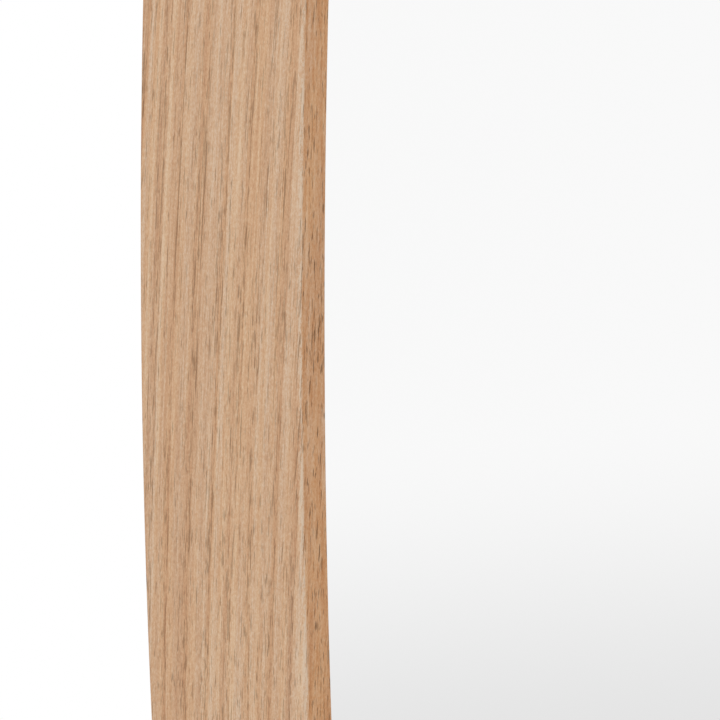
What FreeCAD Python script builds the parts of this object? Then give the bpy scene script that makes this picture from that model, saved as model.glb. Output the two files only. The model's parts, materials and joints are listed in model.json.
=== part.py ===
import FreeCAD, Part
import os
import Sketcher

# Oval wall mirror: an L-section hoop of finger-jointed oak, a carrier board screwed to the hoop's ledge
# from behind, silvered glass bonded to the board, and two ring hangers in the recess behind the board.
# X runs to the right, Z up and the front faces -Y. The origin is the oval's centre on the wall.

DIMENSIONS = {
    # outline, an oval of eight arcs; the turns are the outline's lean where the arcs meet, in degrees
    "overall_width": 500,
    "overall_height": 1000,
    "side_turn": 17,
    "shoulder_turn": 52,
    # oak hoop
    "frame_depth": 30,
    "rim_width": 8,
    "ledge_width": 30,
    "ledge_thickness": 9,
    "front_arris": 0.9,
    "eased_edge": 0.5,
    # finger joints between the hoop's pieces
    "finger_length": 12,
    "finger_count": 5,
    "finger_tip": 1,
    # carrier board and glass
    "board_thickness": 12,
    "board_gap": 0.5,
    "tape_thickness": 1,
    "tape_width": 25,
    "tape_step": 0.14,
    "tape_margin": 25,
    "glass_thickness": 4,
    "glass_gap": 1,
    "glass_bevel": 0.5,
    "block_angle": 7,
    "block_lean": 28,
    "block_clearance": 0.05,
    # screws through the ledge into the board
    "screw_shank": 3.5,
    "screw_head": 7,
    "screw_length": 18,
    "screw_offset": 19,
    "screw_clearance": 0.1,
    # ring hangers
    "hanger_spread": 0.6,
    "hanger_rise": 0.5,
    "strap_width": 14,
    "strap_sheet": 1.2,
    "strap_length": 34,
    "ring_wire": 3,
    "ring_play": 0.1,
    "ring_width": 24,
    "ring_reach": 20,
    "ring_bend": 3.5,
    "ring_stand_off": 0.3,
    "hanger_screw_shank": 4,
    "hanger_screw_head": 7.5,
    "hanger_screw_length": 11,
    "hanger_screw_dome": 2.2,
    "upper_screw_drop": 11,
    "lower_screw_drop": 27,
    # felt pads against the wall
    "pad_diameter": 14,
    "pad_thickness": 2,
}

os.makedirs("parts", exist_ok=True)
doc = FreeCAD.newDocument("oval_mirror")
sheet = doc.addObject("Spreadsheet::Sheet", "dims")
for row, (alias, number) in enumerate(DIMENSIONS.items(), 1):
    sheet.set(f"A{row}", alias)
    sheet.set(f"B{row}", str(number))
    sheet.setAlias(f"B{row}", alias)
doc.recompute()

# Sizes that follow from the driving dimensions; the sides have the radius that an ellipse has there
HALF_WIDTH = "(dims.overall_width / 2)"
HALF_HEIGHT = "(dims.overall_height / 2)"
SIDE_RADIUS = f"({HALF_HEIGHT}^2 / {HALF_WIDTH})"
SIDE_CENTRE = f"({SIDE_RADIUS} - {HALF_WIDTH})"
WIDTH_LEFT = f"({HALF_WIDTH} - {SIDE_RADIUS} * (1 - cos(dims.side_turn)))"
HEIGHT_LEFT = f"({HALF_HEIGHT} - {SIDE_RADIUS} * sin(dims.side_turn))"
SHOULDER_ACROSS = "(cos(dims.side_turn) - cos(dims.shoulder_turn))"
SHOULDER_UP = "(sin(dims.shoulder_turn) - sin(dims.side_turn))"
END_ACROSS = "cos(dims.shoulder_turn)"
END_UP = "(1 - sin(dims.shoulder_turn))"
ARC_SHARE = f"({SHOULDER_ACROSS} * {END_UP} - {SHOULDER_UP} * {END_ACROSS})"
SHOULDER_RADIUS = f"(({WIDTH_LEFT} * {END_UP} - {HEIGHT_LEFT} * {END_ACROSS}) / {ARC_SHARE})"
END_RADIUS = f"(({HEIGHT_LEFT} * {SHOULDER_ACROSS} - {WIDTH_LEFT} * {SHOULDER_UP}) / {ARC_SHARE})"
SHOULDER_X = f"(({SIDE_RADIUS} - {SHOULDER_RADIUS}) * cos(dims.side_turn) - {SIDE_CENTRE})"
SHOULDER_Z = f"(({SIDE_RADIUS} - {SHOULDER_RADIUS}) * sin(dims.side_turn))"
END_CENTRE = f"({HALF_HEIGHT} - {END_RADIUS})"
SIDE_SPAN = "(2 * dims.side_turn)"
SHOULDER_SPAN = "(dims.shoulder_turn - dims.side_turn)"
SHOULDER_MIDDLE = "((dims.side_turn + dims.shoulder_turn) / 2)"
END_SPAN = "(180 - 2 * dims.shoulder_turn)"
BOARD_FRONT = "(dims.ledge_thickness + dims.board_thickness)"
GLASS_BACK = f"({BOARD_FRONT} + dims.tape_thickness)"
BOARD_OFFSET = "(dims.rim_width + dims.board_gap)"
GLASS_OFFSET = "(dims.rim_width + dims.glass_gap)"
BARREL_BORE = "(dims.ring_wire / 2 + dims.ring_play)"
BARREL_RADIUS = f"({BARREL_BORE} + dims.strap_sheet)"
STRAP_THICKNESS = "(2 * dims.strap_sheet)"
BOARD_BACK_Y = "(-dims.pad_thickness - dims.ledge_thickness)"


def value(expression):
    """The number that an expression over the sheet gives."""
    return float(sheet.evalExpression(expression))


def new_body(label):
    body = doc.addObject("PartDesign::Body", label)
    body.Label = label
    return body


def new_sketch(body, role, name, offset=None):
    """A sketch on one of the body's own origin planes."""
    plane = next(feature for feature in body.Origin.OriginFeatures if feature.Role == role)
    sketch = body.newObject("Sketcher::SketchObject", name)
    sketch.AttachmentSupport = (plane, [""])
    sketch.MapMode = "FlatFace"
    if offset is not None:
        sketch.AttachmentOffset = offset
    return sketch


def pin(sketch, geometry, point, x_expression=None, y_expression=None):
    """Holds a point's coordinates at expressions over the sheet."""
    axes = [("DistanceX", x_expression, -2), ("DistanceY", y_expression, -1)]
    for kind, expression, axis in axes:
        if expression is None:
            continue
        size = value(expression)
        if abs(size) < 1e-9:
            sketch.addConstraint(Sketcher.Constraint("PointOnObject", geometry, point, axis))
            continue
        ends = (-1, 1, geometry, point) if size > 0 else (geometry, point, -1, 1)
        signed = expression if size > 0 else f"-({expression})"
        index = sketch.addConstraint(Sketcher.Constraint(kind, *ends, abs(size)))
        sketch.setExpression(f"Constraints[{index}]", signed)


def bind_radius(sketch, geometry, expression):
    index = sketch.addConstraint(Sketcher.Constraint("Radius", geometry, value(expression)))
    sketch.setExpression(f"Constraints[{index}]", expression)


def add_polygon(sketch, corners):
    """A closed polygon whose corners are pairs of expressions."""
    points = [FreeCAD.Vector(value(x), value(y), 0) for x, y in corners]
    first = sketch.GeometryCount
    count = len(points)
    for k in range(count):
        sketch.addGeometry(Part.LineSegment(points[k], points[(k + 1) % count]), False)
    for k in range(count):
        following = first + (k + 1) % count
        sketch.addConstraint(Sketcher.Constraint("Coincident", first + k, 2, following, 1))
    for k, (x, y) in enumerate(corners):
        pin(sketch, first + k, 1, x, y)


def add_circle(sketch, x, y, radius):
    centre = FreeCAD.Vector(value(x), value(y), 0)
    circle = sketch.addGeometry(Part.Circle(centre, FreeCAD.Vector(0, 0, 1), value(radius)), False)
    pin(sketch, circle, 3, x, y)
    bind_radius(sketch, circle, radius)


def add_arc(sketch, x, y, radius, start, end):
    """An arc from one angle to another, in degrees, anticlockwise."""
    centre = FreeCAD.Vector(value(x), value(y), 0)
    circle = Part.Circle(centre, FreeCAD.Vector(0, 0, 1), radius)
    turn = FreeCAD.Units.parseQuantity("1 deg").getValueAs("rad").Value
    return sketch.addGeometry(Part.ArcOfCircle(circle, start * turn, end * turn), False)


def add_oval(sketch, offset):
    """The outline, moved inwards: one arc per piece of the hoop, each tangent to the next."""
    arcs = []
    for centre, middle, radius, span, screws in HOOP_PIECES.values():
        start = value(f"{middle} - {span} / 2")
        arcs.append(add_arc(sketch, *centre, value(f"{radius} - {offset}"), start, start + value(span)))
    for k in range(len(arcs)):
        sketch.addConstraint(Sketcher.Constraint("Tangent", arcs[k], 2, arcs[(k + 1) % len(arcs)], 1))
    for arc, (label, piece) in zip(arcs, HOOP_PIECES.items()):
        x, z = piece[0]
        pin(sketch, arc, 3, None if label == "frame_bottom" else x, z)
    bind_radius(sketch, arcs[0], f"{SIDE_RADIUS} - {offset}")


def add_feature(body, kind, name, profile, **settings):
    """One feature on a profile; a text setting is an expression when it names a size of the sheet."""
    feature = body.newObject(kind, name)
    feature.Profile = profile
    profile.Visibility = False
    for key, setting in settings.items():
        if isinstance(setting, str) and "dims." in setting:
            feature.setExpression(key, setting)
        else:
            setattr(feature, key, setting)
    body.Tip = feature
    doc.recompute()
    return feature


def cut(body, name, profile, **settings):
    """A pocket that has to take material away."""
    before = body.Shape.Volume
    feature = add_feature(body, "PartDesign::Pocket", name, profile, **settings)
    if body.Shape.Volume > before - 1e-3:
        raise RuntimeError(f"{body.Label}: {name} cuts nothing")
    return feature


def place(body, base, rotation="rotationx(0)"):
    """Puts a body at three expressions, turned by a rotation expression."""
    x, y, z = base
    body.setExpression("Placement", f"placement(vector({x}; {y}; {z}); {rotation})")


# Local Z of the hoop, board and glass runs from the hoop's back to the front, so it is turned to -Y
BACK_Y = "-dims.pad_thickness"
FACING_FRONT = "rotationx(90)"

# Each piece of the hoop: arc centre, outward direction of its middle, radius, span and screw angles
side_screws = [f"{k} * {SIDE_SPAN} / 4" for k in (-1.5, -0.5, 0.5, 1.5)]
side_arc = (SIDE_RADIUS, SIDE_SPAN, side_screws)
shoulder_arc = (SHOULDER_RADIUS, SHOULDER_SPAN, ["0"])
end_arc = (END_RADIUS, END_SPAN, ["0"])
HOOP_PIECES = {
    "frame_right": ((f"-{SIDE_CENTRE}", "0"), "0", *side_arc),
    "frame_top_right": ((SHOULDER_X, SHOULDER_Z), SHOULDER_MIDDLE, *shoulder_arc),
    "frame_top": (("0", END_CENTRE), "90", *end_arc),
    "frame_top_left": ((f"-{SHOULDER_X}", SHOULDER_Z), f"(180 - {SHOULDER_MIDDLE})", *shoulder_arc),
    "frame_left": ((SIDE_CENTRE, "0"), "180", *side_arc),
    "frame_bottom_left": ((f"-{SHOULDER_X}", f"-{SHOULDER_Z}"), f"(180 + {SHOULDER_MIDDLE})", *shoulder_arc),
    "frame_bottom": (("0", f"-{END_CENTRE}"), "270", *end_arc),
    "frame_bottom_right": ((SHOULDER_X, f"-{SHOULDER_Z}"), f"(360 - {SHOULDER_MIDDLE})", *shoulder_arc),
}


def add_section(sketch, radius):
    """The hoop's L section: a rim wall with eased edges and a ledge at its back."""
    outer = radius
    inner = f"({radius} - dims.rim_width)"
    ledge = f"({radius} - dims.ledge_width)"
    depth = "dims.frame_depth"
    arris = "dims.front_arris"
    ease = "dims.eased_edge"
    corners = [
        (ledge, "0"),
        (f"{outer} - {ease}", "0"),
        (outer, ease),
        (outer, f"{depth} - {arris}"),
        (f"{outer} - {arris}", depth),
        (f"{inner} + {ease}", depth),
        (inner, f"{depth} - {ease}"),
        (inner, "dims.ledge_thickness"),
        (ledge, "dims.ledge_thickness"),
    ]
    rounds = {
        1: (f"{outer} - {ease}", ease, ease, -90, 0),
        3: (f"{outer} - {arris}", f"{depth} - {arris}", arris, 0, 90),
        5: (f"{inner} + {ease}", f"{depth} - {ease}", ease, 90, 180),
    }
    points = [FreeCAD.Vector(value(x), value(y), 0) for x, y in corners]
    count = len(points)
    edges = []
    for k in range(count):
        if k in rounds:
            x, y, size, start, end = rounds[k]
            edges.append(add_arc(sketch, x, y, value(size), start, end))
        else:
            edges.append(sketch.addGeometry(Part.LineSegment(points[k], points[(k + 1) % count]), False))
    for k in range(count):
        following = (k + 1) % count
        joint = "Tangent" if k in rounds or following in rounds else "Coincident"
        sketch.addConstraint(Sketcher.Constraint(joint, edges[k], 2, edges[following], 1))
    for k, (x, y, size, start, end) in rounds.items():
        bind_radius(sketch, edges[k], size)
    for k in (0, 4, 7):
        sketch.addConstraint(Sketcher.Constraint("Horizontal", edges[k]))
    for k in (2, 6):
        sketch.addConstraint(Sketcher.Constraint("Vertical", edges[k]))
    pin(sketch, edges[0], 1, ledge, "0")
    pin(sketch, edges[2], 1, outer, None)
    pin(sketch, edges[4], 1, None, depth)
    pin(sketch, edges[6], 1, inner, None)
    pin(sketch, edges[7], 2, ledge, "dims.ledge_thickness")


def finger_line():
    """The zigzag of a finger joint, from behind the hoop's back to past its front."""
    half = "dims.finger_length / 2"
    tip = "dims.finger_tip / 2"
    pitch = "dims.frame_depth / dims.finger_count"
    line = [(f"-{half}", f"-{tip}")]
    for k in range(int(value("dims.finger_count"))):
        line.append((f"-{half}", f"{k} * {pitch} + {tip}"))
        line.append((half, f"{k + 0.5} * {pitch} - {tip}"))
        line.append((half, f"{k + 0.5} * {pitch} + {tip}"))
        line.append((f"-{half}", f"{k + 1} * {pitch} - {tip}"))
    line.append((f"-{half}", f"dims.frame_depth + {tip}"))
    return line


def cut_fingers(body, name, angle, side):
    """Trims one end of a hoop piece to the zigzag; side is 1 at its far end and -1 at its near end."""
    turn = FreeCAD.Rotation(FreeCAD.Vector(0, 1, 0), value(angle))
    sketch = new_sketch(body, "YZ_Plane", name, FreeCAD.Placement(FreeCAD.Vector(), turn))
    sketch.setExpression("AttachmentOffset", f"placement(vector(0; 0; 0); rotationy({angle}))")
    waste = f"{2 * side} * dims.finger_length"
    line = finger_line()
    add_polygon(sketch, line + [(waste, line[-1][1]), (waste, line[0][1])])
    cut(body, f"{name}_cut", sketch, Type="ThroughAll", Midplane=True)


def hoop_piece(label, centre, middle, radius, span, screws):
    body = new_body(label)
    section = new_sketch(body, "XZ_Plane", f"{label}_section")
    add_section(section, radius)
    sweep = f"{span} + 2 * dims.finger_length / ({radius} - dims.ledge_width) * 180 / pi"
    add_feature(body, "PartDesign::Revolution", f"{label}_arc", section,
                ReferenceAxis=(section, ["V_Axis"]), Midplane=True, Angle=sweep)
    cut_fingers(body, f"{label}_far_fingers", f"{span} / 2", 1)
    cut_fingers(body, f"{label}_near_fingers", f"-{span} / 2", -1)
    reach = f"({radius} - dims.screw_offset)"
    holes = new_sketch(body, "XY_Plane", f"{label}_holes")
    sinks = new_sketch(body, "XY_Plane", f"{label}_sinks")
    for angle in screws:
        spot = (f"{reach} * cos({angle})", f"{reach} * sin({angle})")
        add_circle(holes, *spot, "dims.screw_shank / 2 + dims.screw_clearance")
        add_circle(sinks, *spot, "dims.screw_head / 2 + dims.screw_clearance")
    cut(body, f"{label}_screw_holes", holes, Length="dims.ledge_thickness", Reversed=True)
    cut(body, f"{label}_countersinks", sinks, Length="(dims.screw_head - dims.screw_shank) / 2",
        TaperAngle=-45.0, Reversed=True)
    x, z = centre
    place(body, (x, BACK_Y, z), f"rotationy(-{middle}) * {FACING_FRONT}")
    return body


pieces = [hoop_piece(label, *settings) for label, settings in HOOP_PIECES.items()]

# Places of the ledge screws, seen from the front
SCREW_PLACES = []
for centre, middle, radius, span, screws in HOOP_PIECES.values():
    reach = f"({radius} - dims.screw_offset)"
    for angle in screws:
        direction = f"({middle} + {angle})"
        x = f"({centre[0]} + {reach} * cos{direction})"
        z = f"({centre[1]} + {reach} * sin{direction})"
        SCREW_PLACES.append((x, z))

# Places of the hangers and of the two screws in each strap
HANGER_REACH = f"dims.hanger_spread * {HALF_WIDTH}"
HANGER_SIDES = {"left": f"-{HANGER_REACH}", "right": HANGER_REACH}
HANGER_HEIGHT = f"(dims.hanger_rise * {HALF_HEIGHT})"
HANGER_DROPS = ["dims.upper_screw_drop", "dims.lower_screw_drop"]
HANGER_SCREW_PLACES = [
    (x, f"({HANGER_HEIGHT} - {drop})") for x in HANGER_SIDES.values() for drop in HANGER_DROPS
]


def carrier_board():
    """The board, with pilot holes in its back for the ledge screws and the hanger screws."""
    body = new_body("carrier_board")
    outline = new_sketch(body, "XY_Plane", "board_outline")
    add_oval(outline, BOARD_OFFSET)
    add_feature(body, "PartDesign::Pad", "board_pad", outline, Length="dims.board_thickness")
    ledge_pilots = new_sketch(body, "XY_Plane", "ledge_pilots")
    for x, z in SCREW_PLACES:
        add_circle(ledge_pilots, x, z, "dims.screw_shank / 2 + dims.screw_clearance / 2")
    depth = "dims.screw_length - dims.ledge_thickness + dims.screw_clearance"
    cut(body, "ledge_pilot_holes", ledge_pilots, Length=depth, Reversed=True)
    hanger_pilots = new_sketch(body, "XY_Plane", "hanger_pilots")
    for x, z in HANGER_SCREW_PLACES:
        add_circle(hanger_pilots, x, z, "dims.hanger_screw_shank / 2 + dims.screw_clearance / 2")
    depth = f"dims.hanger_screw_length - {STRAP_THICKNESS} + dims.screw_clearance"
    cut(body, "hanger_pilot_holes", hanger_pilots, Length=depth, Reversed=True)
    place(body, ("0", BOARD_BACK_Y, "0"), FACING_FRONT)
    return body


def mirror_glass():
    """The glass, with its ground edge bevelled on both faces."""
    body = new_body("mirror_glass")
    outline = new_sketch(body, "XY_Plane", "glass_outline")
    add_oval(outline, GLASS_OFFSET)
    pad = add_feature(body, "PartDesign::Pad", "glass_pad", outline, Length="dims.glass_thickness")
    long_edges = [
        f"Edge{number}" for number, edge in enumerate(pad.Shape.Edges, 1)
        if edge.Length > 2 * value("dims.glass_thickness")
    ]
    bevel = body.newObject("PartDesign::Chamfer", "glass_edge_bevel")
    bevel.Base = (pad, long_edges)
    bevel.setExpression("Size", "dims.glass_bevel")
    body.Tip = bevel
    place(body, ("0", f"{BACK_Y} - {GLASS_BACK}", "0"), FACING_FRONT)
    return body


def bonding_tape(number, step):
    """One upright strip of foam tape between board and glass, shorter towards the sides."""
    strip = doc.addObject("Part::Box", f"bonding_tape_{number}")
    strip.Label = f"bonding_tape_{number}"
    middle = f"({step} * dims.tape_step * dims.overall_width)"
    edge = f"(({abs(step)} * dims.tape_step * dims.overall_width + dims.tape_width / 2) / {HALF_WIDTH})"
    half = f"({HALF_HEIGHT} * sqrt(1 - {edge}^2) - dims.tape_margin - {GLASS_OFFSET})"
    strip.setExpression("Length", "dims.tape_width")
    strip.setExpression("Width", "dims.tape_thickness")
    strip.setExpression("Height", f"2 * {half}")
    place(strip, (f"{middle} - dims.tape_width / 2", f"{BACK_Y} - {GLASS_BACK}", f"-{half}"))
    return strip


def setting_block(side, lean):
    """A rubber block that carries the glass edge on the rim."""
    body = new_body(f"setting_block_{side}")
    section = new_sketch(body, "XZ_Plane", f"block_section_{side}")
    inner = f"{END_RADIUS} - {GLASS_OFFSET}"
    outer = f"{END_RADIUS} - dims.rim_width - dims.block_clearance"
    front = f"{GLASS_BACK} + dims.glass_thickness - 2 * dims.glass_bevel"
    add_polygon(section, [(inner, GLASS_BACK), (outer, GLASS_BACK), (outer, front), (inner, front)])
    add_feature(body, "PartDesign::Revolution", f"block_arc_{side}", section,
                ReferenceAxis=(section, ["V_Axis"]), Midplane=True, Angle="1 * dims.block_angle")
    place(body, ("0", BACK_Y, f"-{END_CENTRE}"), f"rotationy(-(270 + {lean})) * {FACING_FRONT}")
    return body


def screw(name, head_line, head, shank, length, recess):
    """A wood screw along local Z, turned from a half outline, with a cross recess in its head."""
    body = new_body(name)
    half = new_sketch(body, "XZ_Plane", f"{name}_half")
    shank_line = [
        (f"{shank} / 2", f"{length} - {shank}"),
        ("0", length),
    ]
    add_polygon(half, head_line + shank_line)
    add_feature(body, "PartDesign::Revolution", f"{name}_turned", half,
                ReferenceAxis=(half, ["V_Axis"]), Angle=360.0)
    cross = new_sketch(body, "XY_Plane", f"{name}_cross")
    face = FreeCAD.Vector(0, 0, value(head_line[0][1]))
    cross.AttachmentOffset = FreeCAD.Placement(face, FreeCAD.Rotation())
    cross.setExpression("AttachmentOffset.Base.z", head_line[0][1])
    arm = f"{head} * 0.27"
    slot = f"{head} * 0.075"
    add_polygon(cross, [
        (arm, f"-{slot}"), (arm, slot), (slot, slot), (slot, arm), (f"-{slot}", arm), (f"-{slot}", slot),
        (f"-{arm}", slot), (f"-{arm}", f"-{slot}"), (f"-{slot}", f"-{slot}"), (f"-{slot}", f"-{arm}"),
        (slot, f"-{arm}"), (slot, f"-{slot}"),
    ])
    cut(body, f"{name}_recess", cross, Length=recess, Reversed=True)
    return body


def screw_group(label, master, places, y):
    """Copies of one screw, driven from behind, as one group of separate solids."""
    copies = []
    for number, (x, z) in enumerate(places, 1):
        copy = doc.addObject("App::Link", f"{label}_{number}")
        copy.LinkedObject = master
        place(copy, (x, y, z), FACING_FRONT)
        copies.append(copy)
    group = doc.addObject("Part::Compound", label)
    group.Label = label
    group.Links = copies
    return group


def hanger_strap(side, x):
    """A steel strap folded round the ring's bar, both leaves flat on the board."""
    body = new_body(f"hanger_strap_{side}")
    fold = new_sketch(body, "YZ_Plane", f"fold_{side}")
    lower = "-dims.strap_length"
    radius = value(BARREL_RADIUS)
    thickness = value(STRAP_THICKNESS)
    start = -value(f"acos(({STRAP_THICKNESS} - {BARREL_RADIUS}) / {BARREL_RADIUS}) / 1 deg")
    barrel = add_arc(fold, BARREL_RADIUS, "0", radius, start, 180)
    meeting = fold.Geometry[barrel].StartPoint
    bottom_back = FreeCAD.Vector(0, value(lower), 0)
    bottom_front = FreeCAD.Vector(thickness, value(lower), 0)
    back = fold.addGeometry(Part.LineSegment(FreeCAD.Vector(0, 0, 0), bottom_back), False)
    foot = fold.addGeometry(Part.LineSegment(bottom_back, bottom_front), False)
    front = fold.addGeometry(Part.LineSegment(bottom_front, meeting), False)
    loop = [barrel, back, foot, front]
    for k in range(4):
        fold.addConstraint(Sketcher.Constraint("Coincident", loop[k], 2, loop[(k + 1) % 4], 1))
    pin(fold, barrel, 3, BARREL_RADIUS, "0")
    bind_radius(fold, barrel, BARREL_RADIUS)
    pin(fold, back, 1, None, "0")
    pin(fold, back, 2, "0", lower)
    pin(fold, foot, 2, STRAP_THICKNESS, lower)
    pin(fold, front, 2, STRAP_THICKNESS, None)
    add_circle(fold, BARREL_RADIUS, "0", BARREL_BORE)
    add_feature(body, "PartDesign::Pad", f"strap_{side}", fold, Length="1 * dims.strap_width", Midplane=True)
    holes = new_sketch(body, "XZ_Plane", f"strap_holes_{side}")
    for drop in HANGER_DROPS:
        add_circle(holes, "0", f"-{drop}", "dims.hanger_screw_shank / 2 + 2 * dims.screw_clearance")
    drilled = cut(body, f"strap_drilled_{side}", holes, Type="ThroughAll", Midplane=True)
    corners = [
        f"Edge{number}" for number, edge in enumerate(drilled.Shape.Edges, 1)
        if edge.BoundBox.ZMax < value(lower) + 1e-6 and edge.BoundBox.XLength < 1e-6
    ]
    rounded = body.newObject("PartDesign::Fillet", f"strap_end_{side}")
    rounded.Base = (drilled, corners)
    rounded.setExpression("Radius", "dims.strap_width * 0.4")
    body.Tip = rounded
    place(body, (x, BOARD_BACK_Y, HANGER_HEIGHT))
    return body


def hanger_ring(side, x):
    """A bent wire ring, its bar in the strap's barrel and its bow leaning back on the board."""
    body = new_body(f"hanger_ring_{side}")
    path = new_sketch(body, "XZ_Plane", f"ring_path_{side}")
    half = "(dims.ring_width / 2)"
    bend = "dims.ring_bend"
    shoulder = f"(dims.ring_reach - {half})"
    lines = [
        (("0", "0"), (f"({half} - {bend})", "0")),
        ((half, bend), (half, shoulder)),
        ((f"-{half}", shoulder), (f"-{half}", bend)),
        ((f"-({half} - {bend})", "0"), ("0", "0")),
    ]
    bar_right, leg_right, leg_left, bar_left = [
        path.addGeometry(Part.LineSegment(*[FreeCAD.Vector(value(u), value(v), 0) for u, v in ends]), False)
        for ends in lines
    ]
    bend_right = add_arc(path, f"{half} - {bend}", bend, value(bend), -90, 0)
    bow = add_arc(path, "0", shoulder, value(half), 0, 180)
    bend_left = add_arc(path, f"-({half} - {bend})", bend, value(bend), 180, 270)
    chain = [bar_right, bend_right, leg_right, bow, leg_left, bend_left, bar_left]
    for k in range(len(chain)):
        path.addConstraint(Sketcher.Constraint("Coincident", chain[k], 2, chain[(k + 1) % len(chain)], 1))
    pin(path, bar_right, 1, "0", "0")
    pin(path, bar_right, 2, *lines[0][1])
    for leg, ends in ((leg_right, lines[1]), (leg_left, lines[2])):
        pin(path, leg, 1, *ends[0])
        pin(path, leg, 2, *ends[1])
    pin(path, bar_left, 1, *lines[3][0])
    bind_radius(path, bend_right, bend)
    bind_radius(path, bend_left, bend)
    pin(path, bow, 3, None, shoulder)
    wire = new_sketch(body, "YZ_Plane", f"ring_wire_{side}")
    add_circle(wire, "0", "0", "dims.ring_wire / 2")
    add_feature(body, "PartDesign::AdditivePipe", f"ring_{side}", wire, Spine=(path, []))
    lean = f"asin(({BARREL_RADIUS} - dims.ring_wire / 2 - dims.ring_stand_off) / dims.ring_reach)"
    place(body, (x, f"{BOARD_BACK_Y} + {BARREL_RADIUS}", HANGER_HEIGHT), f"rotationx({lean})")
    return body


def wall_pad(label, right, up):
    """A felt pad on the back of one of the hoop's shoulders."""
    pad = doc.addObject("Part::Cylinder", label)
    pad.Label = label
    pad.setExpression("Radius", "dims.pad_diameter / 2")
    pad.setExpression("Height", "dims.pad_thickness")
    reach = f"({SHOULDER_RADIUS} - dims.ledge_width / 2)"
    angle = f"(dims.side_turn + {SHOULDER_SPAN} / 4)"
    x = f"{right} * ({SHOULDER_X} + {reach} * cos{angle})"
    z = f"{up} * ({SHOULDER_Z} + {reach} * sin{angle})"
    place(pad, (x, "0", z), FACING_FRONT)
    return pad


pieces.append(carrier_board())
pieces.append(mirror_glass())
for number, step in enumerate((-2, -1, 0, 1, 2), 1):
    pieces.append(bonding_tape(number, step))
pieces.append(setting_block("left", "-dims.block_lean"))
pieces.append(setting_block("right", "dims.block_lean"))

flat_head = [
    ("0", "0"),
    ("dims.screw_head / 2", "0"),
    ("dims.screw_shank / 2", "(dims.screw_head - dims.screw_shank) / 2"),
]
ledge_screw = screw("ledge_screw", flat_head, "dims.screw_head", "dims.screw_shank", "dims.screw_length",
                    "0.2 * dims.screw_head")
pieces.append(screw_group("carrier_screws", ledge_screw, SCREW_PLACES, BACK_Y))

dome_head = [
    ("0", "-dims.hanger_screw_dome"),
    ("dims.hanger_screw_head * 0.3", "-dims.hanger_screw_dome"),
    ("dims.hanger_screw_head * 0.42", "-dims.hanger_screw_dome * 0.75"),
    ("dims.hanger_screw_head / 2", "-dims.hanger_screw_dome * 0.3"),
    ("dims.hanger_screw_head / 2", "0"),
    ("dims.hanger_screw_shank / 2", "0"),
]
strap_screw = screw("strap_screw", dome_head, "dims.hanger_screw_head", "dims.hanger_screw_shank",
                    "dims.hanger_screw_length", "0.55 * dims.hanger_screw_dome")
pieces.append(screw_group("hanger_screws", strap_screw, HANGER_SCREW_PLACES,
                          f"{BOARD_BACK_Y} + {STRAP_THICKNESS}"))

for side, x in HANGER_SIDES.items():
    pieces.append(hanger_strap(side, x))
    pieces.append(hanger_ring(side, x))

for name, up in (("upper", 1), ("lower", -1)):
    for side, right in (("left", -1), ("right", 1)):
        pieces.append(wall_pad(f"wall_pad_{name}_{side}", right, up))

doc.recompute()
for item in doc.Objects:
    if "Invalid" in item.State or "Error" in item.State:
        raise RuntimeError(f"{item.Label} did not compute: {item.State}")
for piece in pieces:
    if piece.Shape.isNull() or not piece.Shape.isValid():
        raise RuntimeError(f"{piece.Label} has no valid shape")
    piece.Shape.exportStep(f"parts/{piece.Label}.step")
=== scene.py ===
"""Looks of the oval mirror: oak hoop, silvered glass, board and hanger finishes, studio and camera."""

import json
import math
from collections import namedtuple

import bmesh
import bpy
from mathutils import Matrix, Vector
from mathutils.geometry import tessellate_polygon


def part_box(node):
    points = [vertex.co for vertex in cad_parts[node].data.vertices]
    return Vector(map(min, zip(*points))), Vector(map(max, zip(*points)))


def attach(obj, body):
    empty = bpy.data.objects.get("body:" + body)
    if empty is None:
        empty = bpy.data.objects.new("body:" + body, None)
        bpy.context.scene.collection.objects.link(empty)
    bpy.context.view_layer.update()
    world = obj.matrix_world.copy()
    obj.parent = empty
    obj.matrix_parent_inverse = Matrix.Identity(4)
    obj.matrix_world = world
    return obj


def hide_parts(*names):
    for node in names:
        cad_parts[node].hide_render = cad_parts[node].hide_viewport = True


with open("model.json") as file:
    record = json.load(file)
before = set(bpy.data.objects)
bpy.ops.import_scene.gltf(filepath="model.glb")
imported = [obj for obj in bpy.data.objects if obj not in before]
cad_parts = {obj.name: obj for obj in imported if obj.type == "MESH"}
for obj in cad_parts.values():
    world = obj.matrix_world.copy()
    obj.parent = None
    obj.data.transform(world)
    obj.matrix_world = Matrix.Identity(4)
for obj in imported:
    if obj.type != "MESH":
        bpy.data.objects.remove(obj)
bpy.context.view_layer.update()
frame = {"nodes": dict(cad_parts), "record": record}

# Sizes of the hoop, in metres
HALF_WIDTH = 0.25
HALF_HEIGHT = 0.5
SIDE_RADIUS = HALF_HEIGHT**2 / HALF_WIDTH
SIDE_TURN = math.radians(17)
SHOULDER_TURN = math.radians(52)
RIM_WIDTH = 0.008
LEDGE_WIDTH = 0.03
LEDGE_THICKNESS = 0.009
FRONT_ARRIS = 0.0009
EASED_EDGE = 0.0005
GLUE_LINE = 0.0002
hoop_low, hoop_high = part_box("frame_left")
BACK_Y = hoop_high.y
DEPTH = hoop_high.y - hoop_low.y

# Finger joints
FINGER_LENGTH = 0.012
FINGER_COUNT = 5
FINGER_TIP = 0.001
LEVEL_MARGIN = 1e-6

# Screws through the ledge and the drill that makes their holes
SIDE_SCREWS = 4
SHORT_ARC_SCREWS = 1
SCREW_SHANK = 0.0035
SCREW_HEAD = 0.007
SCREW_OFFSET = 0.019
SCREW_CLEARANCE = 0.0001
DRILL_SIDES = 32
DRILL_START = 0.001

# Glass
GLASS_GAP = 0.001
GLASS_BEVEL = 0.0005

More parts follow.
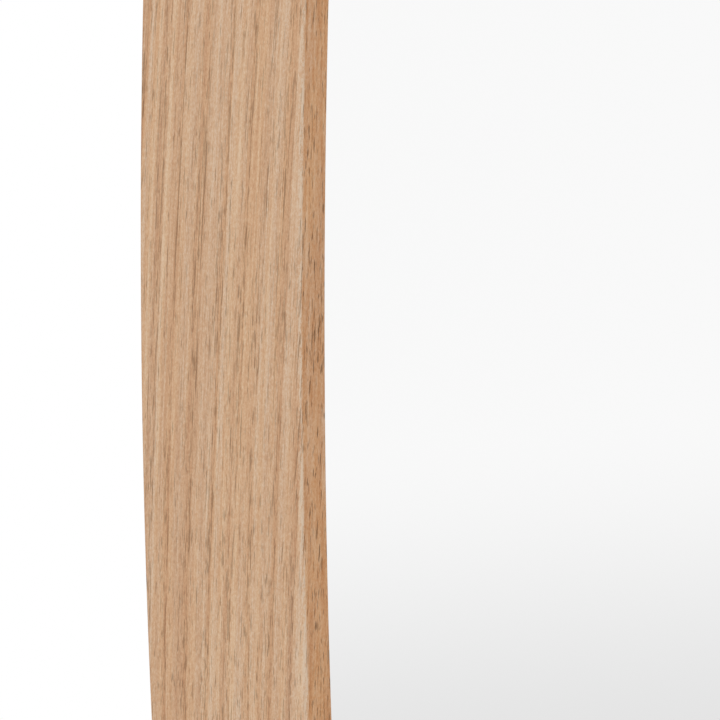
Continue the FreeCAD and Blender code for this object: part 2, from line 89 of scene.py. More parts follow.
# Fineness of the meshes
STATION_LENGTH = 0.004
ARC_STEPS = 8
SHARP_ANGLE = math.radians(35)

# The outline: an oval of eight arcs, each tangent to the next
SIDE_CENTRE = SIDE_RADIUS - HALF_WIDTH
width_left = HALF_WIDTH - SIDE_RADIUS * (1 - math.cos(SIDE_TURN))
height_left = HALF_HEIGHT - SIDE_RADIUS * math.sin(SIDE_TURN)
shoulder_across = math.cos(SIDE_TURN) - math.cos(SHOULDER_TURN)
shoulder_up = math.sin(SHOULDER_TURN) - math.sin(SIDE_TURN)
end_across = math.cos(SHOULDER_TURN)
end_up = 1 - math.sin(SHOULDER_TURN)
arc_share = shoulder_across * end_up - shoulder_up * end_across
SHOULDER_RADIUS = (width_left * end_up - height_left * end_across) / arc_share
END_RADIUS = (height_left * shoulder_across - width_left * shoulder_up) / arc_share
SHOULDER_X = (SIDE_RADIUS - SHOULDER_RADIUS) * math.cos(SIDE_TURN) - SIDE_CENTRE
SHOULDER_Z = (SIDE_RADIUS - SHOULDER_RADIUS) * math.sin(SIDE_TURN)
END_CENTRE = HALF_HEIGHT - END_RADIUS
shoulder_middle = (SIDE_TURN + SHOULDER_TURN) / 2
side_arc = (SIDE_RADIUS, 2 * SIDE_TURN, SIDE_SCREWS)
shoulder_arc = (SHOULDER_RADIUS, SHOULDER_TURN - SIDE_TURN, SHORT_ARC_SCREWS)
end_arc = (END_RADIUS, math.pi - 2 * SHOULDER_TURN, SHORT_ARC_SCREWS)

# The arc of each piece of the hoop, anticlockwise; middle is the direction of the arc's middle
Arc = namedtuple("Arc", "centre middle radius span screws")
HOOP_ARCS = {
    "frame_right": Arc((-SIDE_CENTRE, 0.0), 0.0, *side_arc),
    "frame_top_right": Arc((SHOULDER_X, SHOULDER_Z), shoulder_middle, *shoulder_arc),
    "frame_top": Arc((0.0, END_CENTRE), math.pi / 2, *end_arc),
    "frame_top_left": Arc((-SHOULDER_X, SHOULDER_Z), math.pi - shoulder_middle, *shoulder_arc),
    "frame_left": Arc((SIDE_CENTRE, 0.0), math.pi, *side_arc),
    "frame_bottom_left": Arc((-SHOULDER_X, -SHOULDER_Z), math.pi + shoulder_middle, *shoulder_arc),
    "frame_bottom": Arc((0.0, -END_CENTRE), 1.5 * math.pi, *end_arc),
    "frame_bottom_right": Arc((SHOULDER_X, -SHOULDER_Z), 2 * math.pi - shoulder_middle, *shoulder_arc),
}

# Each plank: slope of its fibres and direction across its rings, outwards and depthwise, and its shade
Plank = namedtuple("Plank", "fibre rings shade")
PLANKS = {
    "frame_left": Plank((0.03, 0.05), (0.165, 0.985), 0.0),
    "frame_right": Plank((-0.03, 0.04), (0.3, 0.95), 0.03),
    "frame_top": Plank((0.02, -0.03), (0.5, 0.86), -0.02),
    "frame_top_left": Plank((-0.04, 0.02), (-0.2, 0.98), 0.07),
    "frame_top_right": Plank((0.03, 0.03), (0.1, 0.99), -0.06),
    "frame_bottom": Plank((0.03, 0.02), (-0.4, 0.92), 0.05),
    "frame_bottom_left": Plank((0.0, -0.04), (0.25, 0.97), -0.07),
    "frame_bottom_right": Plank((-0.02, 0.03), (0.6, 0.8), -0.03),
}
PLANK_START = 0.07
PLANK_STEP = 0.731


# Shader helpers


def feed(tree, socket, given):
    """Links an output to a socket, or sets the socket's own value."""
    if isinstance(given, bpy.types.NodeSocket):
        tree.links.new(given, socket)
    else:
        socket.default_value = given


def node(tree, kind, settings=None, **inputs):
    """Adds a shader node; an input is named, or numbered as i0, i1 and so on."""
    made = tree.nodes.new(kind)
    for key, setting in (settings or {}).items():
        setattr(made, key, setting)
    for key, given in inputs.items():
        numbered = key[0] == "i" and key[1:].isdigit()
        feed(tree, made.inputs[int(key[1:]) if numbered else key], given)
    return made


def calc(tree, operation, first, second=0.0, third=0.0):
    """The result of one Math node."""
    return node(tree, "ShaderNodeMath", {"operation": operation}, i0=first, i1=second, i2=third).outputs[0]


def stretched(tree, coordinates, *scale):
    """Coordinates multiplied axis by axis."""
    return node(tree, "ShaderNodeVectorMath", {"operation": "MULTIPLY"}, i0=coordinates, i1=scale).outputs[0]


def object_cells(tree, *scale):
    """The object's own coordinates, counted in cells per metre."""
    return stretched(tree, node(tree, "ShaderNodeTexCoord").outputs["Object"], *scale)


def attribute(tree, name, output):
    """A value that the mesh holds at each of its points."""
    return node(tree, "ShaderNodeAttribute", {"attribute_name": name}).outputs[output]


def noise(tree, vector, detail=2.0, roughness=0.5, output="Fac"):
    """A noise with cells of size one."""
    made = node(tree, "ShaderNodeTexNoise", Vector=vector, Scale=1.0, Detail=detail, Roughness=roughness)
    return made.outputs[output]


def spread(tree, value, low, high, to_low=0.0, to_high=1.0):
    """A value carried from one range to another, with soft ends."""
    made = node(tree, "ShaderNodeMapRange", {"interpolation_type": "SMOOTHSTEP"}, i0=value, i1=low, i2=high,
                i3=to_low, i4=to_high)
    return made.outputs[0]


def opaque(red, green, blue):
    """An sRGB colour, 0 to 255, as a linear opaque one."""
    def channel(level):
        share = level / 255
        return share / 12.92 if share <= 0.04045 else ((share + 0.055) / 1.055) ** 2.4
    return (channel(red), channel(green), channel(blue), 1.0)


def ramp(tree, value, stops):
    """A ramp of sRGB colours over a value."""
    made = node(tree, "ShaderNodeValToRGB", Fac=value)
    points = made.color_ramp.elements
    while len(points) < len(stops):
        points.new(0.5)
    for point, (position, colour) in zip(points, stops):
        point.position = position
        point.color = opaque(*colour)
    return made.outputs[0]


def mixed(tree, share, first, second, blend="MIX"):
    """Two colours mixed by a share."""
    settings = {"data_type": "RGBA", "blend_type": blend}
    return node(tree, "ShaderNodeMix", settings, i0=share, i6=first, i7=second).outputs[2]


def bumped(tree, height, strength, distance):
    """A surface normal with fine relief."""
    return node(tree, "ShaderNodeBump", Strength=strength, Distance=distance, Height=height).outputs[0]


def new_material(name):
    """A material with its node tree and its main shader."""
    material = bpy.data.materials.new(name)
    material.use_nodes = True
    return material, material.node_tree, material.node_tree.nodes["Principled BSDF"]


def dress(tree, shader, looks):
    """Gives the shader its looks, by the names of its sockets."""
    for name, given in looks.items():
        feed(tree, shader.inputs[name], given)


# Oak


# Cells per metre of each noise: along the ring planes, across the rings and along the fibres
OAK_CELLS = {
    "sway": (9, 9, 4),
    "drift": (60, 150, 2.5),
    "long_streak": (100, 850, 2),
    "flat_streak": (900, 1000, 2.5),
    "fibre": (1300, 3800, 50),
    "fleck": (4200, 4200, 1700),
    "breaks": (2600, 2600, 420),
    "patch": (40, 70, 5),
    "warmth": (160, 700, 2.5),
}
STREAK_DETAIL = 3.0
STREAK_ROUGHNESS = 0.6
FLECK_ROUGHNESS = 0.75

# Growth rings, in metres, and how the early wood rises and fades across one of them
RING_WIDTH = 0.0039
RING_DRIFT = 0.005
GRAIN_SWAY = 0.0025
EARLY_RISE = 0.07
EARLY_FADE = 2.5
FLAT_SAWN_CALM = 0.5

# Tone: the weight of each noise, and the colours from dark to pale
EARLY_WEIGHT = -0.14
STREAK_WEIGHT = 0.68
FIBRE_WEIGHT = 0.55
FLECK_WEIGHT = 0.78
PATCH_WEIGHT = 0.12
TONE_OFFSET = 0.5
OAK_TONES = [(0.2, (170, 116, 66)), (0.5, (192, 149, 108)), (0.8, (208, 180, 150))]
WARMTH_LOW = 0.35
WARMTH_HIGH = 0.65
WARM_TINT = (1.03, 0.975, 0.86, 1.0)
FLAT_SAWN_TINT = (1.005, 0.93, 0.905, 1.0)
# Painted sheen: a pale, slightly blue lift on the hoop's outer side that stands in for the studio's sheen on
# that face
PAINTED_SHEEN = 0.08
PAINTED_SHEEN_COLOUR = (0.95, 0.98, 1.0, 1.0)

# Pores, wide and fine: cells per metre across and along, crowding in early wood, levels at edge and bottom
Pore = namedtuple("Pore", "across along crowding edge bottom")
WIDE_PORE = Pore(6200, 60, 0.18, 0.74, 0.83)
FINE_PORE = Pore(8200, 120, 0.15, 0.7, 0.81)
PORE_LEVEL = 0.3
PORE_BREAKS = 0.6
FINE_PORE_SHARE = 0.8
PORE_DEPTH = 0.48
FLAT_SAWN_PORE_DEPTH = 0.24
PORE_COLOUR = opaque(86, 62, 38)
# How far the pores weaken the painted sheen
PORE_SHEEN_LOSS = 0.5
PORE_ROUGHNESS = 0.2
FIBRE_HEIGHT = 0.3

# The front arris's painted highlight, a pale band that splits along flecks and pores, and the glue lines
HIGHLIGHT_FROM = 0.1
HIGHLIGHT_SKEW = 1.4
FRONT_FADE = 4
PAINTED_HIGHLIGHT_COLOUR = opaque(209, 187, 163)
SPLIT_LOW = 1.4
SPLIT_HIGH = 1.8
LEAST_HIGHLIGHT = 0.1
FLECK_SPLIT = 1.2
PORE_SPLIT = 0.9
GLUE_SHARE = 0.6
GLUE_COLOUR = opaque(122, 86, 56)


def oak_noise(tree, grain, name, detail=2.0, roughness=0.5):
    """One of the noises of the wood."""
    return noise(tree, stretched(tree, grain, *OAK_CELLS[name]), detail, roughness)


def swaying_grain(tree, plank):
    """The plank's own coordinates, with the fibres swaying a little."""
    sway = noise(tree, stretched(tree, plank, *OAK_CELLS["sway"]), detail=1.0, output="Color")
    return node(tree, "ShaderNodeVectorMath", {"operation": "MULTIPLY_ADD"}, i0=sway,
                i1=(GRAIN_SWAY, GRAIN_SWAY, 0.0), i2=plank).outputs[0]


def early_wood(tree, grain, flat_sawn):
    """How far a point is in the porous early wood of its growth ring."""
    drift = calc(tree, "MULTIPLY", oak_noise(tree, grain, "drift"), RING_DRIFT)
    across_rings = calc(tree, "ADD", node(tree, "ShaderNodeSeparateXYZ", Vector=grain).outputs[1], drift)
    age = calc(tree, "FRACT", calc(tree, "DIVIDE", across_rings, RING_WIDTH))
    fading = calc(tree, "POWER", calc(tree, "SUBTRACT", 1.0, age), EARLY_FADE)
    early = calc(tree, "MULTIPLY", fading, spread(tree, age, 0.0, EARLY_RISE))
    return calc(tree, "MULTIPLY", early, calc(tree, "MULTIPLY_ADD", flat_sawn, -FLAT_SAWN_CALM, 1.0))


def streaks(tree, grain, flat_sawn):
    """Streaks along the fibres, finer on flat-sawn faces."""
    long_streak = oak_noise(tree, grain, "long_streak", STREAK_DETAIL, STREAK_ROUGHNESS)
    flat_streak = oak_noise(tree, grain, "flat_streak", STREAK_DETAIL, STREAK_ROUGHNESS)
    change = calc(tree, "SUBTRACT", flat_streak, long_streak)
    return calc(tree, "MULTIPLY_ADD", change, flat_sawn, long_streak)


def open_pores(tree, grain, early, breaks, size):
    """How far a point is in an open pore of one size."""
    vessels = noise(tree, stretched(tree, grain, size.across / 2, size.across, size.along), detail=0.0)
    vessels = calc(tree, "MULTIPLY_ADD", breaks, PORE_BREAKS, calc(tree, "SUBTRACT", vessels, PORE_LEVEL))
    return spread(tree, calc(tree, "MULTIPLY_ADD", early, size.crowding, vessels), size.edge, size.bottom)


def oak():
    """Oiled oak: growth rings, fibre streaks and open pores in the plank's own coordinates, with a painted
    sheen on the outer side and a painted highlight along the front arris.
    """
    material, tree, shader = new_material("oak")
    face = attribute(tree, "face", "Vector")
    flat_sawn, arris_highlight, glue = node(tree, "ShaderNodeSeparateXYZ", Vector=face).outputs
    grain = swaying_grain(tree, attribute(tree, "plank", "Vector"))
    early = early_wood(tree, grain, flat_sawn)
    streak = streaks(tree, grain, flat_sawn)
    fibre = oak_noise(tree, grain, "fibre")
    fleck = oak_noise(tree, grain, "fleck", roughness=FLECK_ROUGHNESS)
    breaks = oak_noise(tree, grain, "breaks", detail=1.0)
    patch = oak_noise(tree, grain, "patch")
    fine_pore = open_pores(tree, grain, early, breaks, FINE_PORE)
    pore = calc(tree, "MAXIMUM", open_pores(tree, grain, early, breaks, WIDE_PORE),
                calc(tree, "MULTIPLY", fine_pore, FINE_PORE_SHARE))

    tone = attribute(tree, "shade", "Fac")
    for part, weight in (
        (streak, STREAK_WEIGHT),
        (early, EARLY_WEIGHT),
        (fibre, FIBRE_WEIGHT),
        (fleck, FLECK_WEIGHT),
        (patch, PATCH_WEIGHT),
    ):
        tone = calc(tree, "MULTIPLY_ADD", part, weight, tone)
    colour = ramp(tree, calc(tree, "SUBTRACT", tone, TONE_OFFSET), OAK_TONES)
    warmth = spread(tree, oak_noise(tree, grain, "warmth"), WARMTH_LOW, WARMTH_HIGH)
    colour = mixed(tree, warmth, colour, WARM_TINT, "MULTIPLY")
    colour = mixed(tree, flat_sawn, colour, FLAT_SAWN_TINT, "MULTIPLY")

    pore_depth = calc(tree, "MULTIPLY_ADD", flat_sawn, FLAT_SAWN_PORE_DEPTH, PORE_DEPTH)
    colour = mixed(tree, calc(tree, "MULTIPLY", pore, pore_depth), colour, PORE_COLOUR)
    # Painted sheen on the outer side, where the face is not flat-sawn, weaker in the pores
    painted_sheen = calc(tree, "MULTIPLY_ADD", flat_sawn, -PAINTED_SHEEN, PAINTED_SHEEN)
    painted_sheen = calc(tree, "MULTIPLY", painted_sheen, calc(tree, "MULTIPLY_ADD", pore, -PORE_SHEEN_LOSS, 1.0))
    colour = mixed(tree, painted_sheen, colour, PAINTED_SHEEN_COLOUR)

    rough_edge = calc(tree, "MULTIPLY_ADD", fleck, FLECK_SPLIT, calc(tree, "ADD", breaks, fibre))
    split = spread(tree, rough_edge, SPLIT_LOW, SPLIT_HIGH, to_low=LEAST_HIGHLIGHT)
    unbroken = calc(tree, "MULTIPLY", split, calc(tree, "MULTIPLY_ADD", pore, -PORE_SPLIT, 1.0))
    # Painted highlight: a pale band along the front arris, broken by flecks and pores
    colour = mixed(tree, calc(tree, "MULTIPLY", arris_highlight, unbroken), colour, PAINTED_HIGHLIGHT_COLOUR)
    colour = mixed(tree, calc(tree, "MULTIPLY", glue, GLUE_SHARE), colour, GLUE_COLOUR)

    sheen = spread(tree, streak, low=0.25, high=0.75, to_low=0.5, to_high=0.62)
    height = calc(tree, "SUBTRACT", calc(tree, "MULTIPLY", fibre, FIBRE_HEIGHT), pore)
    dress(tree, shader, {
        "Base Color": colour,
        "Roughness": calc(tree, "MULTIPLY_ADD", pore, PORE_ROUGHNESS, sheen),
        "Specular IOR Level": 0.2,
        "Normal": bumped(tree, height, strength=0.35, distance=0.0001),
    })
    return material


# Other materials


# The range that most of a noise covers
NOISE_LOW = 0.3
NOISE_HIGH = 0.7

# Fibreboard
PRESSED_WEIGHT = 0.75
CLOUD_WEIGHT = 0.14
BOARD_TONES = [(0.2, (128, 100, 72)), (0.45, (152, 122, 90)), (0.7, (176, 146, 110))]
SPECK_EDGE = 0.22
SPECK_CORE = 0.12
SPECK_SHARE = 0.45
SPECK_COLOUR = opaque(96, 72, 50)

# Zinc
SPANGLE_WEIGHT = 0.3
MARKS_WEIGHT = 0.7
ZINC_TONES = [(0.25, (168, 170, 172)), (0.75, (214, 216, 218))]


def silver():
    """The silvered face of the glass, with the faintest haze of dust."""
    material, tree, shader = new_material("silvered_glass")
    haze = noise(tree, object_cells(tree, 60, 60, 60), detail=5.0, roughness=0.6)
    dress(tree, shader, {
        "Base Color": (0.95, 0.95, 0.95, 1.0),
        "Roughness": spread(tree, haze, low=0.35, high=0.75, to_low=0.004, to_high=0.03),
        "Metallic": 1.0,
    })
    return material


def ground_edge():
    """The ground, slightly green edge and painted back of the glass."""
    material, tree, shader = new_material("ground_glass_edge")
    grind = noise(tree, object_cells(tree, 3000, 3000, 3000), detail=3.0)
    dress(tree, shader, {
        "Base Color": ramp(tree, grind, [(NOISE_LOW, (120, 146, 138)), (NOISE_HIGH, (166, 188, 180))]),
        "Roughness": spread(tree, grind, NOISE_LOW, NOISE_HIGH, to_low=0.25, to_high=0.5),
    })
    return material


def fibreboard():
    """Raw fibreboard: fine pressed fibres, small dark specks and a slightly uneven sanded face."""
    material, tree, shader = new_material("fibreboard")
    fibres = noise(tree, object_cells(tree, 900, 900, 900), detail=6.0, roughness=0.7)
    cloud = noise(tree, object_cells(tree, 25, 25, 18), detail=4.0)
    specks = node(tree, "ShaderNodeTexVoronoi", Vector=object_cells(tree, 700, 700, 260), Scale=1.0)
    speck = spread(tree, specks.outputs["Distance"], SPECK_EDGE, SPECK_CORE, to_high=SPECK_SHARE)
    clouded = calc(tree, "MULTIPLY", cloud, CLOUD_WEIGHT)
    tone = calc(tree, "ADD", calc(tree, "MULTIPLY", fibres, PRESSED_WEIGHT), clouded)
    board = ramp(tree, tone, BOARD_TONES)
    dress(tree, shader, {
        "Base Color": mixed(tree, speck, board, SPECK_COLOUR),
        "Roughness": spread(tree, fibres, NOISE_LOW, NOISE_HIGH, to_low=0.7, to_high=0.9),
        "Normal": bumped(tree, fibres, strength=0.3, distance=0.0001),
    })
    return material


def zinc():
    """Bright zinc plating with a fine spangle and handling marks."""
    material, tree, shader = new_material("zinc_steel")
    grains = node(tree, "ShaderNodeTexVoronoi", Vector=object_cells(tree, 900, 900, 900), Scale=1.0)
    grain = node(tree, "ShaderNodeSeparateColor", Color=grains.outputs["Color"]).outputs[0]
    marks = noise(tree, object_cells(tree, 400, 400, 1500), detail=5.0, roughness=0.65)
    marked = calc(tree, "MULTIPLY", marks, MARKS_WEIGHT)
    tone = calc(tree, "ADD", calc(tree, "MULTIPLY", grain, SPANGLE_WEIGHT), marked)
    dress(tree, shader, {
        "Base Color": ramp(tree, tone, ZINC_TONES),
        "Roughness": spread(tree, marks, NOISE_LOW, NOISE_HIGH, to_low=0.24, to_high=0.42),
        "Metallic": 1.0,
        "Normal": bumped(tree, marks, strength=0.15, distance=0.00005),
    })
    return material


def felt():
    """Pressed wool felt."""
    material, tree, shader = new_material("felt")
    wool = noise(tree, object_cells(tree, 1100, 1100, 1100), detail=8.0, roughness=0.8)
    dress(tree, shader, {
        "Base Color": ramp(tree, wool, [(NOISE_LOW, (70, 64, 58)), (NOISE_HIGH, (158, 152, 142))]),
        "Roughness": 0.95,
        "Sheen Weight": 0.4,
        "Normal": bumped(tree, wool, strength=0.8, distance=0.0003),
    })
    return material


def fine_grained(name, dark, pale, cell_count, rough):
    """A fine-grained rubber or foam, with its cells counted per metre."""
    material, tree, shader = new_material(name)
    cells = noise(tree, object_cells(tree, cell_count, cell_count, cell_count), detail=4.0)
    dress(tree, shader, {
        "Base Color": ramp(tree, cells, [(NOISE_LOW, dark), (NOISE_HIGH, pale)]),
        "Roughness": rough,
        "Normal": bumped(tree, cells, strength=0.4, distance=0.0001),
    })
    return material


# Mesh helpers


def on_arc(arc, angle, inward):
    """X and Z of a point at an angle on an arc, moved inwards."""
    reach = arc.radius - inward
    return (arc.centre[0] + reach * math.cos(angle), arc.centre[1] + reach * math.sin(angle))


def ring_faces(first, rings, count):
    """Four-sided faces between rings of points that are closed on themselves."""
    faces = []
    for ring in range(rings - 1):
        for k in range(count):
            here = first + ring * count + k
            after = first + ring * count + (k + 1) % count
            faces.append((here, after, after + count, here + count))
    return faces


def closed_mesh(name, corners, faces):
    """A closed mesh with all its faces turned outwards."""
    mesh = bpy.data.meshes.new(name)
    mesh.from_pydata(corners, [], faces)
    shell = bmesh.new()
    shell.from_mesh(mesh)
    bmesh.ops.recalc_face_normals(shell, faces=shell.faces)
    shell.to_mesh(mesh)
    shell.free()
    return mesh


def linked_object(name, data):
    """An object in the scene's own collection."""
    made = bpy.data.objects.new(name, data)
    bpy.context.scene.collection.objects.link(made)
    return made


# The hoop


def finger_offset(depth):
    """How far along the hoop the zigzag of a joint lies at one depth from the back."""
    pitch = DEPTH / FINGER_COUNT
    half = FINGER_LENGTH / 2
    flat = FINGER_TIP / 2
    place = depth % pitch
    place = min(place, pitch - place)
    rise = min(max((place - flat) / (pitch / 2 - 2 * flat), 0.0), 1.0)
    return -half + 2 * half * rise


def finger_levels(low, high):
    """Depths at which the zigzag turns, between two depths."""
    pitch = DEPTH / FINGER_COUNT
    turns = []
    for k in range(2 * FINGER_COUNT + 1):
        turns += [k * pitch / 2 - FINGER_TIP / 2, k * pitch / 2 + FINGER_TIP / 2]
    return [turn for turn in turns if low + LEVEL_MARGIN < turn < high - LEVEL_MARGIN]


def rounded(centre_in, centre_depth, radius, start, end):
    """Points of an eased edge, as distance in from the outline and depth from the back."""
    points = []
    for k in range(ARC_STEPS + 1):
        angle = math.radians(start + (end - start) * k / ARC_STEPS)
        points.append((centre_in - radius * math.cos(angle), centre_depth + radius * math.sin(angle)))
    return points


def section():
    """The hoop's L section, once round, as distance in from the outline and depth from the back."""
    outer = finger_levels(EASED_EDGE, DEPTH - FRONT_ARRIS)
    inner = finger_levels(LEDGE_THICKNESS, DEPTH - EASED_EDGE)
    ledge = finger_levels(0.0, LEDGE_THICKNESS)
    line = [(LEDGE_WIDTH, 0.0), (RIM_WIDTH, 0.0)]
    line += rounded(EASED_EDGE, EASED_EDGE, EASED_EDGE, -90, 0)
    line += [(0.0, depth) for depth in outer]
    line += rounded(FRONT_ARRIS, DEPTH - FRONT_ARRIS, FRONT_ARRIS, 0, 90)
    line += rounded(RIM_WIDTH - EASED_EDGE, DEPTH - EASED_EDGE, EASED_EDGE, 90, 180)
    line += [(RIM_WIDTH, depth) for depth in reversed(inner)]
    line += [(RIM_WIDTH, LEDGE_THICKNESS), (LEDGE_WIDTH, LEDGE_THICKNESS)]
    line += [(LEDGE_WIDTH, depth) for depth in reversed(ledge)]
    return line


def hoop_solid(label, arc):
    """The L section carried along its arc, with finger-jointed ends."""
    line = section()
    count = len(line)
    steps = round(arc.radius * arc.span / STATION_LENGTH)
    edge = GLUE_LINE / (arc.radius * arc.span)
    shares = [0.0, edge] + [k / steps for k in range(1, steps)] + [1.0 - edge, 1.0]
    corners = []
    for share in shares:
        for inward, depth in line:
            zigzag = math.asin(finger_offset(depth) / (arc.radius - inward))
            x, z = on_arc(arc, arc.middle + arc.span * (share - 0.5) + zigzag, inward)
            corners.append((x, BACK_Y - depth, z))
    faces = ring_faces(0, len(shares), count)
    cap = tessellate_polygon([[Vector((inward, depth, 0.0)) for inward, depth in line]])
    last = (len(shares) - 1) * count
    faces += [(a, b, c) for a, b, c in cap]
    faces += [(last + a, last + c, last + b) for a, b, c in cap]
    return linked_object(f"oak_{label}", closed_mesh(f"oak_{label}", corners, faces))


def drill(label, arc):
    """Countersunk drill shapes at the screws of one piece."""
    head = SCREW_HEAD / 2 + SCREW_CLEARANCE
    shank = SCREW_SHANK / 2 + SCREW_CLEARANCE
    sink = (SCREW_HEAD - SCREW_SHANK) / 2
    steps = [(-DRILL_START, head), (0.0, head), (sink, shank), (LEDGE_THICKNESS + DRILL_START, shank)]
    corners = []
    faces = []
    for number in range(arc.screws):
        x, z = on_arc(arc, arc.middle + arc.span * ((number + 0.5) / arc.screws - 0.5), SCREW_OFFSET)
        first = len(corners)
        for depth, size in steps:
            for k in range(DRILL_SIDES):
                turn = 2 * math.pi * k / DRILL_SIDES
                corners.append((x + size * math.cos(turn), BACK_Y - depth, z + size * math.sin(turn)))
        tip = first + (len(steps) - 1) * DRILL_SIDES
        faces += ring_faces(first, len(steps), DRILL_SIDES)
        faces.append(tuple(reversed(range(first, first + DRILL_SIDES))))
        faces.append(tuple(range(tip, tip + DRILL_SIDES)))
    return linked_object(f"drill_{label}", closed_mesh(f"drill_{label}", corners, faces))


def drilled(piece, cutter):
    """The piece's mesh with the cutter's shape taken out of it."""
    modifier = piece.modifiers.new("screw_holes", "BOOLEAN")
    modifier.operation = "DIFFERENCE"
    modifier.solver = "EXACT"
    modifier.object = cutter
    mesh = bpy.data.meshes.new_from_object(piece.evaluated_get(bpy.context.evaluated_depsgraph_get()))
    piece.modifiers.clear()
    bpy.data.objects.remove(cutter)
    return mesh


def face_kind(inward, depth):
    """How far a point of the section is on a flat-sawn face, and how far in the painted highlight along the
    front arris.
    """
    front = DEPTH - depth
    if inward > FRONT_ARRIS:
        return (1.0, 0.0)
    if front > FRONT_ARRIS:
        return (max(1 - depth / EASED_EDGE, 0.0), 0.0)
    turn = math.atan2(FRONT_ARRIS - front, FRONT_ARRIS - inward) / (math.pi / 2)
    highlit = min(max((turn - HIGHLIGHT_FROM) / (1 - HIGHLIGHT_FROM), 0.0), 1.0)
    return (highlit**FRONT_FADE, math.sin(math.pi * highlit**HIGHLIGHT_SKEW))


def joint_glue(arc, turn, inward, depth):
    """How far a point is on the glue line at either end of its piece."""
    reach = arc.radius - inward
    zigzag = math.asin(finger_offset(depth) / reach)
    distance = min(abs(turn - zigzag - arc.span / 2), abs(turn - zigzag + arc.span / 2)) * reach
    return max(1 - distance / GLUE_LINE, 0.0)


def plank_axes(arc, cut):
    """Directions along the ring planes, across the rings and along the fibres of a piece's plank."""
    along = Vector((-math.sin(arc.middle), 0.0, math.cos(arc.middle)))
    outward = Vector((math.cos(arc.middle), 0.0, math.sin(arc.middle)))
    depthwise = Vector((0.0, 1.0, 0.0))
    grain = (cut.fibre[0] * outward + cut.fibre[1] * depthwise + along).normalized()
    ring = cut.rings[0] * outward + cut.rings[1] * depthwise
    ring = (ring - ring.dot(grain) * grain).normalized()
    return (ring.cross(grain), ring, grain)


def hoop_piece(label, arc, cut, shift, material):
    """One oak piece with its screw holes, and the lie of the wood at each of its points."""
    piece = hoop_solid(label, arc)
    piece.data = drilled(piece, drill(label, arc))
    mesh = piece.data
    axes = plank_axes(arc, cut)
    for name, kind in (("plank", "FLOAT_VECTOR"), ("face", "FLOAT_VECTOR"), ("shade", "FLOAT")):
        mesh.attributes.new(name, kind, "POINT")
    plank, face, tint = (mesh.attributes[name] for name in ("plank", "face", "shade"))
    for number, corner in enumerate(mesh.vertices):
        spot = corner.co
        plank.data[number].vector = [axis.dot(spot) + shift for axis in axes]
        across, up = spot.x - arc.centre[0], spot.z - arc.centre[1]
        inward = arc.radius - math.hypot(across, up)
        depth = BACK_Y - spot.y
        turn = math.remainder(math.atan2(up, across) - arc.middle, 2 * math.pi)
        # The face holds the flat-sawn share, the share of the arris's painted highlight and the glue line
        face.data[number].vector = (*face_kind(inward, depth), joint_glue(arc, turn, inward, depth))
        tint.data[number].value = cut.shade
    mesh.shade_smooth()
    mesh.set_sharp_from_angle(angle=SHARP_ANGLE)
    mesh.materials.clear()
    mesh.materials.append(material)
    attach(piece, "mirror")
    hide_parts(label)


# The glass


def oval(offset):
    """Points of the outline moved inwards, anticlockwise."""
    points = []
    for arc in HOOP_ARCS.values():
        steps = round(arc.radius * arc.span / STATION_LENGTH)
        points += [on_arc(arc, arc.middle + arc.span * (k / steps - 0.5), offset) for k in range(steps)]
    return points


def glass_sheet(silvered, edge):
    """The mirror glass: a silvered front, bevelled ground edges and a back."""
    low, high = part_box("mirror_glass")
    offset = RIM_WIDTH + GLASS_GAP
    levels = [
        (high.y, offset + GLASS_BEVEL),
        (high.y - GLASS_BEVEL, offset),
        (low.y + GLASS_BEVEL, offset),
        (low.y, offset + GLASS_BEVEL),
    ]
    corners = []
    for depth, inset in levels:
        corners += [(x, depth, z) for x, z in oval(inset)]
    count = len(corners) // len(levels)
    back = tuple(reversed(range(count)))
    front = tuple(range(len(corners) - count, len(corners)))
    mesh = closed_mesh("glass_sheet", corners, [back, *ring_faces(0, len(levels), count), front])
    mesh.materials.append(edge)
    mesh.materials.append(silvered)
    mesh.polygons[-1].material_index = 1
    piece = linked_object("glass_sheet", mesh)
    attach(piece, "mirror")
    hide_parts("mirror_glass")


# The pieces


wood = oak()
for number, (label, cut) in enumerate(PLANKS.items()):
    hoop_piece(label, HOOP_ARCS[label], cut, PLANK_START + number * PLANK_STEP, wood)
glass_sheet(silver(), ground_edge())

# Finishes of the pieces that keep the frame's own shapes
FINISHES = {
    "fibreboard": fibreboard(),
    "zinc_steel": zinc(),
    "felt": felt(),
    "rubber": fine_grained("rubber", (16, 16, 16), (34, 34, 33), cell_count=1500, rough=0.75),
    "foam_tape": fine_grained("foam_tape", (196, 196, 190), (226, 226, 220), cell_count=1800, rough=0.85),
}
for row in frame["record"]["subparts"]:
    if row["material_slot"] in FINISHES:
        shown = frame["nodes"][row["node"]]
        shown.data.materials.clear()
        shown.data.materials.append(FINISHES[row["material_slot"]])


# Studio


FLOOR_RADIUS = 1.1
FLOOR_SIDES = 96
FLOOR_GREY = (0.82, 0.82, 0.82, 1.0)
KEY_PLACE = (-2.2, -0.8, 1.2)
KEY_SIZE = 1.6
KEY_POWER = 15.0
FILL_LEVEL = 0.855
# What glossy surfaces see: the studio fades from pale to darker below a tilted horizon
HORIZON = (-0.056, -0.095, 1.0)
FADE_LOW = -0.265
FADE_HIGH = -0.145
DARK_LEVEL = 0.805
PALE_LEVEL = 0.991


def floor():
    """A round pale floor just under the mirror."""
    corners = []
    for k in range(FLOOR_SIDES):
        angle = 2 * math.pi * k / FLOOR_SIDES
        corners.append((FLOOR_RADIUS * math.cos(angle), FLOOR_RADIUS * math.sin(angle), -HALF_HEIGHT))
    mesh = bpy.data.meshes.new("floor")
    mesh.from_pydata(corners, [], [tuple(range(FLOOR_SIDES))])
    material, tree, shader = new_material("floor")
    dress(tree, shader, {"Base Color": FLOOR_GREY, "Roughness": 0.9})
    mesh.materials.append(material)
    linked_object("floor", mesh)


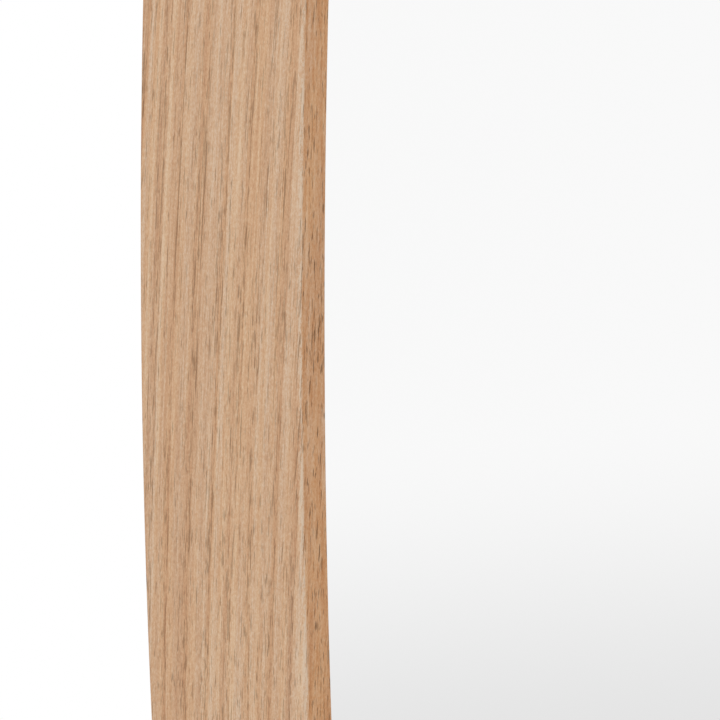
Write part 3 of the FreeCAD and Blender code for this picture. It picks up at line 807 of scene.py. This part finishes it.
def studio_world():
    """White to the camera, a soft studio fading below the horizon to glossy surfaces, and even fill light."""
    world = bpy.data.worlds.new("studio")
    world.use_nodes = True
    tree = world.node_tree
    direction = node(tree, "ShaderNodeTexCoord").outputs["Generated"]
    tilted = node(tree, "ShaderNodeVectorMath", {"operation": "DOT_PRODUCT"}, i0=direction, i1=HORIZON)
    fade = spread(tree, tilted.outputs["Value"], FADE_LOW, FADE_HIGH, DARK_LEVEL, PALE_LEVEL)
    path = node(tree, "ShaderNodeLightPath").outputs
    mirrored = calc(tree, "MAXIMUM", path["Is Glossy Ray"], path["Is Transmission Ray"])
    fill = calc(tree, "MULTIPLY", calc(tree, "SUBTRACT", 1.0, mirrored), FILL_LEVEL)
    level = calc(tree, "ADD", fill, calc(tree, "MULTIPLY", mirrored, fade))
    seen = path["Is Camera Ray"]
    level = calc(tree, "ADD", calc(tree, "MULTIPLY", level, calc(tree, "SUBTRACT", 1.0, seen)), seen)
    dress(tree, tree.nodes["Background"], {"Color": (1.0, 1.0, 1.0, 1.0), "Strength": level})
    bpy.context.scene.world = world


def key_light():
    """A large square lamp aimed at the mirror's middle."""
    lamp = bpy.data.lights.new("key", "AREA")
    lamp.size = KEY_SIZE
    lamp.energy = KEY_POWER
    holder = linked_object("key", lamp)
    holder.location = KEY_PLACE
    holder.rotation_euler = (-Vector(KEY_PLACE)).to_track_quat("-Z", "Y").to_euler()


floor()
studio_world()
key_light()


# Camera: the photograph's view of the left side, from the front left and a little above


AZIMUTH = math.radians(-60.048)
ELEVATION = math.radians(6.7257)
DISTANCE = 0.51477
AIM = Vector((-0.20513, -0.017, -0.0092))
FOCAL_PIXELS = 3000.0
PICTURE_PIXELS = 720.0
SENSOR_WIDTH = 36.0
NEAR_CLIP = 0.01

camera_data = bpy.data.cameras.new("camera")
camera_data.sensor_width = SENSOR_WIDTH
camera_data.lens = SENSOR_WIDTH * FOCAL_PIXELS / PICTURE_PIXELS
camera_data.clip_start = NEAR_CLIP
camera = linked_object("camera", camera_data)
level_reach = math.cos(ELEVATION)
towards_camera = Vector((
    math.sin(AZIMUTH) * level_reach,
    -math.cos(AZIMUTH) * level_reach,
    math.sin(ELEVATION),
))
camera.location = AIM + DISTANCE * towards_camera
camera.rotation_euler = (-towards_camera).to_track_quat("-Z", "Y").to_euler()
bpy.context.scene.camera = camera
bpy.context.scene.view_settings.view_transform = "Standard"
